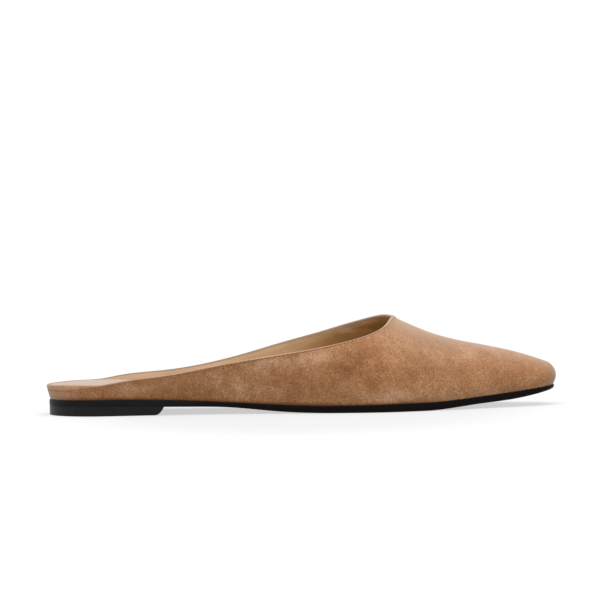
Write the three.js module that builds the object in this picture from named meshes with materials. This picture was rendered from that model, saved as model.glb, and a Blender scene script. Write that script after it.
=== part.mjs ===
// A flat slip-on mule for the right foot: a suede upper open at the heel's top and along the instep,
// standing on a thin outsole, with a stacked heel under it and a cushioned insole inside.
// Millimetres, +Z up, +X to the toe, -Y the outer side. Heights are worked out over the floor.
import * as THREE from 'three';

// The size of the shoe
const SOLE_LENGTH = 255.4; // outsole, back of the heel to the tip of the toe
const BALL_WIDTH = 77; // outsole across the ball of the foot, square to the length
const INSTEP_HEIGHT = 42.4; // front of the throat over the top of the outsole
const HEEL_HEIGHT = 4.8; // floor to the underside of the outsole at the heel seat
const TOE_SPRING = 8.2; // floor to the underside of the outsole at the tip

// The upper's edge and the thickness of each layer
const THROAT = 174; // back of the heel to the front of the opening
const HEEL_WALL = 6.6; // edge of the upper over the top of the outsole, round the heel
const WALL = 1.8; // suede with its lining
const OUTSOLE_THICKNESS = 3.5; // at the waist and the toe's root
const INSOLE_THICKNESS = 2.9; // under the ball and the toes, and its cushion fills the heel to the edge

// Clearances and edges
const SEAT_GAP = 0.3; // between two pieces that lie on each other
const FEATHER_INSET = 0.5; // the outsole's edge stands out this far past the upper's lower edge
const OUTSOLE_EDGE = 0.4; // rounding along the outsole's upper edge
const OUTSOLE_BEVEL = 0.8; // rounding along the outsole's lower edge
const TOE_BEVEL = 1.6; // how far in it reaches at the tip, where the outsole thins out
const HEEL_EDGE = 0.5; // rounding along the heel's lower edge
const INSOLE_EDGE = 0.5; // rounding along the insole's upper edge
const TREAD_FLAT = 0.05; // an underside that would lift less than this lies flat on the floor
const CUSHION_PROUD = 0.3; // the insole stands this far out of the upper's edge at the heel
const RIM_ROUND = 0.6; // how far the folded edge of the upper is rounded up

// The plan of the outline and the form of the sections
const HEEL_ROUND = 27; // length of the round end at the heel
const TOE_ROUND = 12; // length of the round end at the toe
const TOE_SQUARENESS = 2.5; // 2 is an ellipse, more is squarer
const TOE_FACE = 3.4; // how far back the nose rounds over into the vamp
const NOSE_SQUARENESS = 3.5; // in profile, 2 is round, more is blunter
const SIDE_FULLNESS = 2.3; // 2 is an ellipse, more stands the sides up
const CREST_FULLNESS = 1.8; // more flattens the crest
const HEEL_BREAST = 57.7; // front face of the heel, at its top
const BREAST_SLANT = 2.7; // the front face is this much further back at the floor
// The last. The stations are shares of SOLE_LENGTH.
// outer, inner: outline from the centre line, and ridge: the crest's place, as shares of BALL_WIDTH
// crest: height over the outsole's top, as a share of INSTEP_HEIGHT
// heel, spring: height of the outsole's underside, as shares of HEEL_HEIGHT and TOE_SPRING
// sole: share of OUTSOLE_THICKNESS
// cushion: the insole's top, from INSOLE_THICKNESS at 0 to the upper's edge at the heel at 1
// swell: how far the side leans out over the outline, as a share of BALL_WIDTH
// round: where it leans out most, from low on the side at 0 to halfway up at 1
const LAST = curves(
  SOLE_LENGTH,
  ['at', 'outer', 'inner', 'ridge', 'crest', 'heel', 'spring', 'sole', 'cushion', 'swell', 'round'],
  [
    [0.0, 0.33, 0.325, 0.0, 1.99, 0.96, 0.0, 0.9, 1.0, 0.055, 0.0],
    [0.1, 0.34, 0.332, 0.0, 1.97, 1.0, 0.0, 0.95, 1.0, 0.05, 0.0],
    [0.22, 0.332, 0.318, 0.0, 1.92, 0.86, 0.0, 0.99, 0.86, 0.04, 0.0],
    [0.34, 0.345, 0.275, 0.005, 1.8, 0.62, 0.0, 0.88, 0.6, 0.03, 0.0],
    [0.46, 0.415, 0.31, 0.01, 1.56, 0.15, 0.0, 1.02, 0.33, 0.026, 0.0],
    [0.58, 0.505, 0.43, 0.015, 1.26, 0.0, 0.0, 1.04, 0.12, 0.024, 0.0],
    [0.68, 0.51, 0.49, 0.02, 0.99, 0.0, 0.0, 1.13, 0.02, 0.022, 0.0],
    [0.76, 0.425, 0.455, 0.025, 0.773, 0.0, 0.03, 1.14, 0.0, 0.022, 0.0],
    [0.84, 0.315, 0.365, 0.03, 0.612, 0.0, 0.27, 1.0, 0.0, 0.022, 0.0],
    [0.92, 0.208, 0.262, 0.035, 0.46, 0.0, 0.5, 1.02, 0.0, 0.022, 0.5],
    [1.0, 0.12, 0.165, 0.03, 0.24, 0.0, 1.0, 0.57, 0.0, 0.023, 1.0],
  ],
);

// The opening's edge on either side. The stations are shares of THROAT.
// It climbs from HEEL_WALL at 0 to the crest at 1.
const TOPLINE = curves(
  THROAT,
  ['at', 'outer', 'inner'],
  [
    [0.0, 0.0, 0.0],
    [0.09, 0.0, 0.0],
    [0.15, 0.002, 0.006],
    [0.2, 0.022, 0.027],
    [0.32, 0.062, 0.062],
    [0.44, 0.118, 0.119],
    [0.56, 0.198, 0.221],
    [0.68, 0.305, 0.37],
    [0.79, 0.431, 0.535],
    [0.88, 0.575, 0.719],
    [0.94, 0.724, 0.872],
    [0.976, 0.885, 0.966],
    [0.99, 0.965, 0.988],
    [1.0, 1.0, 1.0],
  ],
);

// How finely the surfaces are cut
const TOE_STEPS = 6;
const VAMP_STEPS = 14;
const QUARTER_STEPS = 18;
const HEEL_STEPS = 8;
const WALL_ROWS = 16;
const FAN_END = THROAT * 0.88; // behind it the upper is cut square across, and before it in a fan

const OUTER = -1;
const INNER = 1;

// A smooth curve through a column of points, straight where it ends
function spline(xs, ys) {
  const last = xs.length - 1;
  const bend = new Array(last + 1).fill(0);
  const carry = new Array(last + 1).fill(0);
  for (let i = 1; i < last; i++) {
    const before = xs[i] - xs[i - 1];
    const after = xs[i + 1] - xs[i];
    const turn = 6 * ((ys[i + 1] - ys[i]) / after - (ys[i] - ys[i - 1]) / before);
    const pivot = 2 * (before + after) - before * carry[i - 1];
    carry[i] = after / pivot;
    bend[i] = (turn - before * bend[i - 1]) / pivot;
  }
  for (let i = last - 1; i > 0; i--) bend[i] -= carry[i] * bend[i + 1];
  return (x) => {
    let i = 0;
    while (i < last - 1 && x > xs[i + 1]) i++;
    const span = xs[i + 1] - xs[i];
    const a = (xs[i + 1] - x) / span;
    const b = 1 - a;
    return a * ys[i] + b * ys[i + 1] + (((a ** 3 - a) * bend[i] + (b ** 3 - b) * bend[i + 1]) * span ** 2) / 6;
  };
}

// A table's columns as functions of the distance from the back of the heel
function curves(length, names, rows) {
  const columns = {};
  names.slice(1).forEach((name, column) => {
    const curve = spline(rows.map((row) => row[0]), rows.map((row) => row[column + 1]));
    columns[name] = (x) => curve(x / length);
  });
  return columns;
}

function between(low, value, high) {
  return Math.min(high, Math.max(low, value));
}

// Heights along the shoe
const ridge = (x) => BALL_WIDTH * LAST.ridge(x);
const underside = (x) => {
  const lift = HEEL_HEIGHT * LAST.heel(x) + TOE_SPRING * LAST.spring(x);
  return Math.max(0, lift - TREAD_FLAT);
};
const soleTop = (x) => underside(x) + OUTSOLE_THICKNESS * LAST.sole(x);
const crest = (x) => INSTEP_HEIGHT * LAST.crest(x);
const insoleTop = (x) => {
  const low = SEAT_GAP + INSOLE_THICKNESS;
  const high = HEEL_WALL + RIM_ROUND + CUSHION_PROUD;
  return low + (high - low) * between(0, LAST.cushion(x), 1);
};

// The share of the round end at the toe or the heel that lies behind a station, 0 to 1
const toeShare = (x, inset) => between(0, (x - SOLE_LENGTH + TOE_ROUND) / (TOE_ROUND - inset), 1);
const heelShare = (x, inset) => between(0, (HEEL_ROUND - x) / (HEEL_ROUND - inset), 1);

// From the ridge out to one side, before the ends are rounded
function half(side, x) {
  return BALL_WIDTH * (side === OUTER ? LAST.outer(x) : LAST.inner(x)) - side * ridge(x);
}

// From the ridge out to the outline on one side, with the outline moved in by an inset
function reach(side, x, inset) {
  const toe = (1 - toeShare(x, inset) ** TOE_SQUARENESS) ** (1 / TOE_SQUARENESS);
  const heel = Math.sqrt(1 - heelShare(x, inset) ** 2);
  return (half(side, x) - inset) * toe * heel;
}

// How much of the crest's height is left near the nose and near the back
function endShare(x) {
  const nose = between(0, (x - SOLE_LENGTH + FEATHER_INSET + TOE_FACE) / TOE_FACE, 1);
  const back = heelShare(x, FEATHER_INSET);
  return (1 - nose ** NOSE_SQUARENESS) ** (1 / NOSE_SQUARENESS) * (1 - back ** 2) ** (1 / CREST_FULLNESS);
}

// The last's height at a point of the plan, as a share of the crest's height there
function rise(x, y) {
  const side = y < ridge(x) ? OUTER : INNER;
  const width = reach(side, x, FEATHER_INSET);
  const out = width > 0 ? Math.min(1, Math.abs(y - ridge(x)) / width) : 0;
  return (1 - out ** SIDE_FULLNESS) ** (1 / CREST_FULLNESS) * endShare(x);
}

// The stations of the outline from the tip of the toe to the back of the heel
function stations(inset) {
  const toeRoot = SOLE_LENGTH - TOE_ROUND;
  const list = [];
  for (let i = 0; i < TOE_STEPS; i++) {
    const turn = Math.cos((i / TOE_STEPS) * (Math.PI / 2));
    list.push(toeRoot + (TOE_ROUND - inset) * turn ** (2 / TOE_SQUARENESS));
  }
  for (let i = 0; i < VAMP_STEPS; i++) list.push(toeRoot + (FAN_END - toeRoot) * (i / VAMP_STEPS));
  for (let i = 0; i < QUARTER_STEPS; i++) list.push(FAN_END + (HEEL_ROUND - FAN_END) * (i / QUARTER_STEPS));
  for (let i = 0; i <= HEEL_STEPS; i++) {
    const turn = Math.sin((i / HEEL_STEPS) * (Math.PI / 2));
    list.push(HEEL_ROUND - (HEEL_ROUND - inset) * turn);
  }
  return list;
}

// A closed loop of points from the toe along the outer side, round the heel and back along the inner side
function loop(point) {
  const last = TOE_STEPS + VAMP_STEPS + QUARTER_STEPS + HEEL_STEPS;
  const points = [];
  for (let i = 0; i <= last; i++) points.push(point(OUTER, i));
  for (let i = last - 1; i > 0; i--) points.push(point(INNER, i));
  return points;
}

// The plan point of the opening's edge where the line that starts at a station of the outline ends
function edgePoint(side, index, station) {
  const front = TOE_STEPS + VAMP_STEPS;
  const x = index < front ? THROAT + (FAN_END - THROAT) * (index / front) ** 2 : station;
  const climb = between(0, side === OUTER ? TOPLINE.outer(x) : TOPLINE.inner(x), 1);
  const level = ((HEEL_WALL + (crest(x) - HEEL_WALL) * climb) / crest(x)) ** CREST_FULLNESS;
  const back = heelShare(x, FEATHER_INSET) ** 2 * (1 - level);
  const out = Math.max(0, 1 - level / (1 - back)) ** (1 / SIDE_FULLNESS);
  const width = (half(side, x) - FEATHER_INSET) * Math.sqrt(1 - back);
  const edge = back > 0 ? HEEL_ROUND - (HEEL_ROUND - FEATHER_INSET) * Math.sqrt(back) : x;
  return new THREE.Vector2(edge, ridge(edge) + side * out * width);
}

// Rows of the upper's outer face, from the outline up to the opening's edge
function outerFace() {
  const at = stations(FEATHER_INSET);
  const foot = loop((side, i) => new THREE.Vector2(at[i], ridge(at[i]) + side * reach(side, at[i], FEATHER_INSET)));
  const edge = loop((side, i) => edgePoint(side, i, at[i]));
  const rows = [];
  for (let row = 0; row <= WALL_ROWS; row++) {
    const share = (row / WALL_ROWS) ** 2;
    rows.push(foot.map((start, i) => {
      const plan = start.clone().lerp(edge[i], share);
      const level = row === 0 ? 0 : rise(plan.x, plan.y);
      const height = soleTop(plan.x) + SEAT_GAP * (1 - level) + crest(plan.x) * level;
      return new THREE.Vector3(plan.x, plan.y, height);
    }));
  }
  const levels = rows.map((row) => row.map((p) => (p.z - soleTop(p.x)) / crest(p.x)));
  const normals = rowNormals(rows);
  return rows.map((row, r) => row.map((p, i) => {
    const swell = BALL_WIDTH * LAST.swell(p.x) * swellShare(levels[r][i], between(0, LAST.round(p.x), 1));
    return p.clone().add(new THREE.Vector3(normals[r][i].x, normals[r][i].y, 0).multiplyScalar(swell));
  }));
}

// The side leans out most at a third of the crest's height, or halfway up where it is round, and comes
// back in at the crest
function swellShare(level, round) {
  const held = between(0, level, 1);
  return (1 - round) * (27 / 4) * held * (1 - held) ** 2 + round * 4 * held * (1 - held);
}

// Normals of rows that run round the shoe, each from its four neighbours, facing out
function rowNormals(rows) {
  const count = rows[0].length;
  return rows.map((row, r) => row.map((_, i) => {
    const up = rows[Math.min(r + 1, rows.length - 1)][i].clone().sub(rows[Math.max(r - 1, 0)][i]);
    const along = row[(i + 1) % count].clone().sub(row[(i + count - 1) % count]);
    return up.cross(along).normalize();
  }));
}

// A closed surface from rings of points, each joined to the next and the last to the first
function tube(rings) {
  const triangles = [];
  rings.forEach((ring, r) => joinRings(triangles, ring, rings[(r + 1) % rings.length]));
  return solid(triangles);
}

function joinRings(triangles, low, high) {
  low.forEach((point, i) => {
    const next = (i + 1) % low.length;
    triangles.push([point, high[i], high[next]], [point, high[next], low[next]]);
  });
}

// A closed surface from stacked rings, with the first and last closed straight across the shoe
function stack(rings, pairs) {
  const triangles = [];
  for (let r = 0; r + 1 < rings.length; r++) joinRings(triangles, rings[r], rings[r + 1]);
  closeRing(triangles, rings[0], pairs, true);
  closeRing(triangles, rings[rings.length - 1], pairs, false);
  return solid(triangles);
}

function closeRing(triangles, ring, pairs, first) {
  for (let i = 0; i + 1 < pairs.length; i++) {
    const [a, b] = pairs[i];
    const [c, d] = pairs[i + 1];
    const faces = [];
    if (a !== b) faces.push([ring[a], ring[c], ring[b]]);
    if (c !== d) faces.push([ring[b], ring[c], ring[d]]);
    faces.forEach((face) => triangles.push(first ? face : face.reverse()));
  }
}

// A geometry from triangles, turned over where they face in
function solid(triangles) {
  const volume = triangles.reduce((sum, [a, b, c]) => sum + a.dot(b.clone().cross(c)), 0);
  const faces = volume < 0 ? triangles.map(([a, b, c]) => [a, c, b]) : triangles;
  return new THREE.BufferGeometry().setFromPoints(faces.flat());
}

// Which points of a ring face each other across the shoe: a ring with a point at the toe, or one cut straight
function ringPairs(count, cutFront) {
  const last = Math.floor(count / 2);
  const pairs = [];
  for (let i = 0; i <= last; i++) pairs.push([i, cutFront ? count - 1 - i : (count - i) % count]);
  return pairs;
}

// The upper's inner face, a wall's thickness inside the outer one
function innerFace(outside) {
  const normals = rowNormals(outside);
  return outside.map((row, r) => row.map((p, i) => {
    const out = r === 0 ? laidFlat(normals[r][i]) : normals[r][i];
    return p.clone().addScaledVector(out, -WALL);
  }));
}

// A direction laid flat
function laidFlat(direction) {
  return new THREE.Vector3(direction.x, direction.y, 0).normalize();
}

function upper() {
  const outside = outerFace();
  const inside = innerFace(outside);
  const top = WALL_ROWS;
  const rim = outside[top].map((p, i) => {
    const upward = p.clone().sub(outside[top - 1][i]).normalize();
    return p.clone().add(inside[top][i]).multiplyScalar(0.5).addScaledVector(upward, RIM_ROUND);
  });
  return tube([...outside, rim, ...inside.reverse()]);
}

// A ring moved in, flat, by an inset that follows the station, and laid at a height
function movedIn(ring, inset, height) {
  const count = ring.length;
  return ring.map((p, i) => {
    const along = ring[(i + 1) % count].clone().sub(ring[(i + count - 1) % count]);
    const inward = new THREE.Vector3(along.y, -along.x, 0).normalize();
    const q = p.clone().addScaledVector(inward, inset(p.x));
    return q.setZ(height(q.x));
  });
}

// The sole's outline, flat
function outline() {
  const at = stations(0);
  return loop((side, i) => new THREE.Vector3(at[i], ridge(at[i]) + side * reach(side, at[i], 0), 0));
}

function outsole() {
  const bevel = (x) => OUTSOLE_BEVEL + (TOE_BEVEL - OUTSOLE_BEVEL) * between(0, LAST.spring(x), 1);
  const rings = [
    movedIn(outline(), () => OUTSOLE_EDGE, soleTop),
    movedIn(outline(), () => 0, (x) => soleTop(x) - OUTSOLE_EDGE),
    movedIn(outline(), () => 0, (x) => underside(x) + OUTSOLE_BEVEL),
    movedIn(outline(), bevel, underside),
  ];
  return stack(rings, ringPairs(rings[0].length, false));
}

// The heel follows the sole's outline from its slanted front face round the back
function heel() {
  const behind = stations(0).filter((x) => x < HEEL_BREAST - BREAST_SLANT);
  const at = [HEEL_BREAST, ...behind];
  const ring = (share, inset) => {
    const lean = 1 - (BREAST_SLANT * (1 - share)) / HEEL_BREAST;
    const point = (side, x) => {
      const turned = heelShare(x, 0);
      const y = ridge(x) + side * reach(side, x, 0) - side * inset * Math.sqrt(1 - turned ** 2);
      return new THREE.Vector3((x + inset * turned) * lean, y, (underside(x) - SEAT_GAP) * share);
    };
    return [...at.map((x) => point(OUTER, x)), ...at.slice(0, -1).reverse().map((x) => point(INNER, x))];
  };
  const rings = [ring(0, HEEL_EDGE), ring(HEEL_EDGE / HEEL_HEIGHT, 0), ring(1, 0)];
  return stack(rings, ringPairs(rings[0].length, true));
}

// The insole fills the bottom of the upper, a seat gap inside its inner face
function insole() {
  const wall = innerFace(outerFace());
  const ring = (height, inset) => {
    const touching = wall[0].map((foot, i) => {
      const z = soleTop(foot.x) + height(foot.x);
      let row = 1;
      while (row < WALL_ROWS && wall[row][i].z < z) row++;
      const below = wall[row - 1][i];
      const above = wall[row][i];
      return below.clone().lerp(above, between(0, (z - below.z) / (above.z - below.z), 1));
    });
    return movedIn(touching, () => SEAT_GAP + inset, (x) => soleTop(x) + height(x));
  };
  const rings = [
    ring(() => SEAT_GAP, 0),
    ring((x) => insoleTop(x) / 2, 0),
    ring((x) => insoleTop(x) - INSOLE_EDGE, 0),
    ring(insoleTop, INSOLE_EDGE),
  ];
  return stack(rings, ringPairs(rings[0].length, false));
}

// The pieces, each with its finish
function piece(name, geometry, color, roughness) {
  geometry.computeVertexNormals();
  const mesh = new THREE.Mesh(geometry, new THREE.MeshStandardMaterial({ color, roughness, metalness: 0 }));
  mesh.name = name;
  return mesh;
}

const shoe = new THREE.Group();
shoe.add(piece('upper', upper(), 0xa87c5a, 0.95));
shoe.add(piece('outsole', outsole(), 0x1c1a1b, 0.55));
shoe.add(piece('heel', heel(), 0x1f1d1e, 0.5));
shoe.add(piece('insole', insole(), 0xd6bfae, 0.45));

// The origin is the middle of the footprint's box, on the floor
const box = new THREE.Box3().setFromObject(shoe);
const centre = box.getCenter(new THREE.Vector3());
shoe.position.set(-centre.x, -centre.y, -box.min.z);

const part = new THREE.Group();
part.add(shoe);

export default part;
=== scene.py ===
"""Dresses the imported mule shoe: suede upper with its folded edge, lining and stitches, cushioned insole,
black outsole and heel, with a white studio round it. Sizes in the code are millimetres unless said."""

import math

import bmesh
import bpy
import numpy as np
from bpy.props import FloatProperty, FloatVectorProperty, PointerProperty
from mathutils import Matrix, Vector, noise


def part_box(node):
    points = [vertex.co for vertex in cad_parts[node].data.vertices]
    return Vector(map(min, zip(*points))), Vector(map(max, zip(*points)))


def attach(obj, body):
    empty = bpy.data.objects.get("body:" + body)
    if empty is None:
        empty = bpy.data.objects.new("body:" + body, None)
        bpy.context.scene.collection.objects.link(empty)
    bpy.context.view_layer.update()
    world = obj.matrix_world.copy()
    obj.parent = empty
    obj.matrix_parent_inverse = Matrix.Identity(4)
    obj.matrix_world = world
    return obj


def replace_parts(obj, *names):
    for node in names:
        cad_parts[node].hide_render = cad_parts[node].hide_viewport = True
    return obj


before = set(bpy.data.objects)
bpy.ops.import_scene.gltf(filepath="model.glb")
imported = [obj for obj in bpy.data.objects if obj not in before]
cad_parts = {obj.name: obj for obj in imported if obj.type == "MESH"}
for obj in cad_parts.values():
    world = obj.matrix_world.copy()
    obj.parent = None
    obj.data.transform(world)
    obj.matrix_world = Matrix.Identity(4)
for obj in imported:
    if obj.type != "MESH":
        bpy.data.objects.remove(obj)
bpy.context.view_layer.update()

bl_info = {
    "name": "Mule shoe",
    "version": (1, 0, 0),
    "blender": (4, 5, 0),
    "location": "3D View > Sidebar > Mule shoe",
    "description": "Builds the fine surfaces and materials of a flat suede mule round its packed model",
    "category": "Object",
}

MM = 0.001
OUTER = -1
INNER = 1

# The last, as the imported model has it
SOLE_LENGTH = 255.4
BALL_WIDTH = 77.0
INSTEP_HEIGHT = 42.4
HEEL_HEIGHT = 4.8
TOE_SPRING = 8.2
THROAT = 174.0
HEEL_WALL = 6.6
WALL = 1.8
OUTSOLE_THICKNESS = 3.5
INSOLE_THICKNESS = 2.9
FEATHER_INSET = 0.5
SEAT_GAP = 0.3
CUSHION_PROUD = 0.3
RIM_ROUND = 0.6
FOLD_ROUND = 0.45
TREAD_FLAT = 0.05
HEEL_ROUND = 27.0
TOE_ROUND = 12.0
TOE_SQUARENESS = 2.5
TOE_FACE = 3.4
NOSE_SQUARENESS = 3.5
SIDE_FULLNESS = 2.3
CREST_FULLNESS = 1.8
HEEL_BREAST = 57.7
BREAST_SLANT = 2.7
FAN_END = THROAT * 0.88

# Stations as shares of SOLE_LENGTH. Widths, ridge and swell are shares of BALL_WIDTH, crest of
# INSTEP_HEIGHT, heel of HEEL_HEIGHT, spring of TOE_SPRING and sole of OUTSOLE_THICKNESS. The side leans
# out most low down where round is 0, and halfway up where it is 1.
LAST_NAMES = ("outer", "inner", "ridge", "crest", "heel", "spring", "sole", "cushion", "swell", "round")
LAST_ROWS = (
    (0.00, 0.330, 0.325, 0.000, 1.990, 0.96, 0.00, 0.90, 1.00, 0.055, 0.0),
    (0.10, 0.340, 0.332, 0.000, 1.970, 1.00, 0.00, 0.95, 1.00, 0.050, 0.0),
    (0.22, 0.332, 0.318, 0.000, 1.920, 0.86, 0.00, 0.99, 0.86, 0.040, 0.0),
    (0.34, 0.345, 0.275, 0.005, 1.800, 0.62, 0.00, 0.88, 0.60, 0.030, 0.0),
    (0.46, 0.415, 0.310, 0.010, 1.560, 0.15, 0.00, 1.02, 0.33, 0.026, 0.0),
    (0.58, 0.505, 0.430, 0.015, 1.260, 0.00, 0.00, 1.04, 0.12, 0.024, 0.0),
    (0.68, 0.510, 0.490, 0.020, 0.990, 0.00, 0.00, 1.13, 0.02, 0.022, 0.0),
    (0.76, 0.425, 0.455, 0.025, 0.773, 0.00, 0.03, 1.14, 0.00, 0.022, 0.0),
    (0.84, 0.315, 0.365, 0.030, 0.612, 0.00, 0.27, 1.00, 0.00, 0.022, 0.0),
    (0.92, 0.208, 0.262, 0.035, 0.460, 0.00, 0.50, 1.02, 0.00, 0.022, 0.5),
    (1.00, 0.120, 0.165, 0.030, 0.240, 0.00, 1.00, 0.57, 0.00, 0.023, 1.0),
)

# The opening's edge on either side, at shares of THROAT. It climbs from HEEL_WALL to the crest.
TOPLINE_NAMES = ("outer", "inner")
TOPLINE_ROWS = (
    (0.000, 0.000, 0.000),
    (0.090, 0.000, 0.000),
    (0.150, 0.002, 0.006),
    (0.200, 0.022, 0.027),
    (0.320, 0.062, 0.062),
    (0.440, 0.118, 0.119),
    (0.560, 0.198, 0.221),
    (0.680, 0.305, 0.370),
    (0.790, 0.431, 0.535),
    (0.880, 0.575, 0.719),
    (0.940, 0.724, 0.872),
    (0.976, 0.885, 0.966),
    (0.990, 0.965, 0.988),
    (1.000, 1.000, 1.000),
)

# How finely the surfaces are cut
TOE_STEPS = 24
VAMP_STEPS = 56
QUARTER_STEPS = 72
HEEL_STEPS = 32
LAST_STEP = TOE_STEPS + VAMP_STEPS + QUARTER_STEPS + HEEL_STEPS
WALL_ROWS = 56
FINE_ROWS = 160
RIM_STEPS = 8
# The rows next to the edge: distances below the stitches, then shares of the way from them to the edge
BELOW_SEAM = (1.6, 1.0, 0.65, 0.42, 0.2, 0.0)
ABOVE_SEAM = (0.8, 0.6, 0.35, 0.15, 0.0)


def spline(xs, ys):
    """A smooth curve through points, straight where it ends."""
    xs = np.asarray(xs, float)
    ys = np.asarray(ys, float)
    count = len(xs)
    span = np.diff(xs)
    slope = np.diff(ys) / span
    matrix = np.eye(count)
    turn = np.zeros(count)
    for i in range(1, count - 1):
        matrix[i, i - 1 : i + 2] = span[i - 1], 2 * (span[i - 1] + span[i]), span[i]
        turn[i] = 6 * (slope[i] - slope[i - 1])
    bend = np.linalg.solve(matrix, turn)

    def curve(x):
        i = np.clip(np.searchsorted(xs, x) - 1, 0, count - 2)
        a = (xs[i + 1] - x) / span[i]
        b = 1 - a
        arch = (a**3 - a) * bend[i] + (b**3 - b) * bend[i + 1]
        return a * ys[i] + b * ys[i + 1] + arch * span[i] ** 2 / 6

    return curve


def curves(length, names, rows):
    """A table's columns as functions of the distance from the back of the heel."""
    table = np.array(rows)
    made = {}
    for column, name in enumerate(names, 1):
        curve = spline(table[:, 0], table[:, column])
        made[name] = lambda x, curve=curve: curve(np.asarray(x, float) / length)
    return made


LAST = curves(SOLE_LENGTH, LAST_NAMES, LAST_ROWS)
TOPLINE = curves(THROAT, TOPLINE_NAMES, TOPLINE_ROWS)


def ridge(x):
    return BALL_WIDTH * LAST["ridge"](x)


def underside(x):
    lift = HEEL_HEIGHT * LAST["heel"](x) + TOE_SPRING * LAST["spring"](x)
    return np.maximum(0, lift - TREAD_FLAT)


def sole_top(x):
    return underside(x) + OUTSOLE_THICKNESS * LAST["sole"](x)


def crest(x):
    return INSTEP_HEIGHT * LAST["crest"](x)


def insole_top(x):
    low = SEAT_GAP + INSOLE_THICKNESS
    high = HEEL_WALL + RIM_ROUND + CUSHION_PROUD
    return low + (high - low) * np.clip(LAST["cushion"](x), 0, 1)


def toe_share(x, inset):
    return np.clip((x - SOLE_LENGTH + TOE_ROUND) / (TOE_ROUND - inset), 0, 1)


def heel_share(x, inset):
    return np.clip((HEEL_ROUND - x) / (HEEL_ROUND - inset), 0, 1)


def half(side, x):
    """From the ridge out to one side, before the ends are rounded."""
    share = np.where(side == OUTER, LAST["outer"](x), LAST["inner"](x))
    return BALL_WIDTH * share - side * ridge(x)


def reach(side, x, inset):
    """From the ridge out to the outline on one side, with the outline moved in by an inset."""
    toe = (1 - toe_share(x, inset) ** TOE_SQUARENESS) ** (1 / TOE_SQUARENESS)
    heel = np.sqrt(1 - heel_share(x, inset) ** 2)
    return (half(side, x) - inset) * toe * heel


def end_share(x):
    """How much of the crest's height is left near the nose and near the back."""
    nose = np.clip((x - SOLE_LENGTH + FEATHER_INSET + TOE_FACE) / TOE_FACE, 0, 1)
    back = heel_share(x, FEATHER_INSET)
    return (1 - nose**NOSE_SQUARENESS) ** (1 / NOSE_SQUARENESS) * (1 - back**2) ** (1 / CREST_FULLNESS)


def rise(x, y):
    """The last's height at a point of the plan, as a share of the crest's height there."""
    side = np.where(y < ridge(x), OUTER, INNER)
    width = reach(side, x, FEATHER_INSET)
    out = np.where(width > 0, np.abs(y - ridge(x)) / np.maximum(width, 1e-9), 0)
    return (1 - np.minimum(out, 1) ** SIDE_FULLNESS) ** (1 / CREST_FULLNESS) * end_share(x)


def stations(inset):
    """The stations of the outline from the tip of the toe to the back of the heel."""
    toe_root = SOLE_LENGTH - TOE_ROUND
    toe = np.cos(np.arange(TOE_STEPS) / TOE_STEPS * math.pi / 2)
    heel = np.sin(np.arange(HEEL_STEPS + 1) / HEEL_STEPS * math.pi / 2)
    return np.concatenate((
        toe_root + (TOE_ROUND - inset) * toe ** (2 / TOE_SQUARENESS),
        toe_root + (FAN_END - toe_root) * np.arange(VAMP_STEPS) / VAMP_STEPS,
        FAN_END + (HEEL_ROUND - FAN_END) * np.arange(QUARTER_STEPS) / QUARTER_STEPS,
        HEEL_ROUND - (HEEL_ROUND - inset) * heel,
    ))


# A loop runs from the toe along the outer side, round the heel and back along the inner side
LOOP_SIDE = np.array([OUTER] * (LAST_STEP + 1) + [INNER] * (LAST_STEP - 1))
LOOP_INDEX = np.concatenate((np.arange(LAST_STEP + 1), np.arange(LAST_STEP - 1, 0, -1)))
LOOP_COUNT = len(LOOP_SIDE)


def outline(inset):
    """The sole's outline as a flat loop."""
    x = stations(inset)[LOOP_INDEX]
    return np.stack((x, ridge(x) + LOOP_SIDE * reach(LOOP_SIDE, x, inset), np.zeros(LOOP_COUNT)), 1)


def opening_edge():
    """The plan points of the opening's edge, one for each point of the outline."""
    front = TOE_STEPS + VAMP_STEPS
    fan = THROAT + (FAN_END - THROAT) * (LOOP_INDEX / front) ** 2
    x = np.where(LOOP_INDEX < front, fan, stations(FEATHER_INSET)[LOOP_INDEX])
    climb = np.clip(np.where(LOOP_SIDE == OUTER, TOPLINE["outer"](x), TOPLINE["inner"](x)), 0, 1)
    level = ((HEEL_WALL + (crest(x) - HEEL_WALL) * climb) / crest(x)) ** CREST_FULLNESS
    back = heel_share(x, FEATHER_INSET) ** 2 * (1 - level)
    out = np.maximum(0, 1 - level / (1 - back)) ** (1 / SIDE_FULLNESS)
    width = (half(LOOP_SIDE, x) - FEATHER_INSET) * np.sqrt(1 - back)
    edge = np.where(back > 0, HEEL_ROUND - (HEEL_ROUND - FEATHER_INSET) * np.sqrt(back), x)
    return np.stack((edge, ridge(edge) + LOOP_SIDE * out * width), 1)


def unit(vectors):
    return vectors / np.maximum(np.linalg.norm(vectors, axis=-1, keepdims=True), 1e-9)


def row_normals(rows):
    """Normals of rows that run round the shoe, each from its four neighbours, facing out."""
    above = np.concatenate((rows[1:], rows[-1:]))
    below = np.concatenate((rows[:1], rows[:-1]))
    along = np.roll(rows, -1, 1) - np.roll(rows, 1, 1)
    return unit(np.cross(above - below, along))


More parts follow.
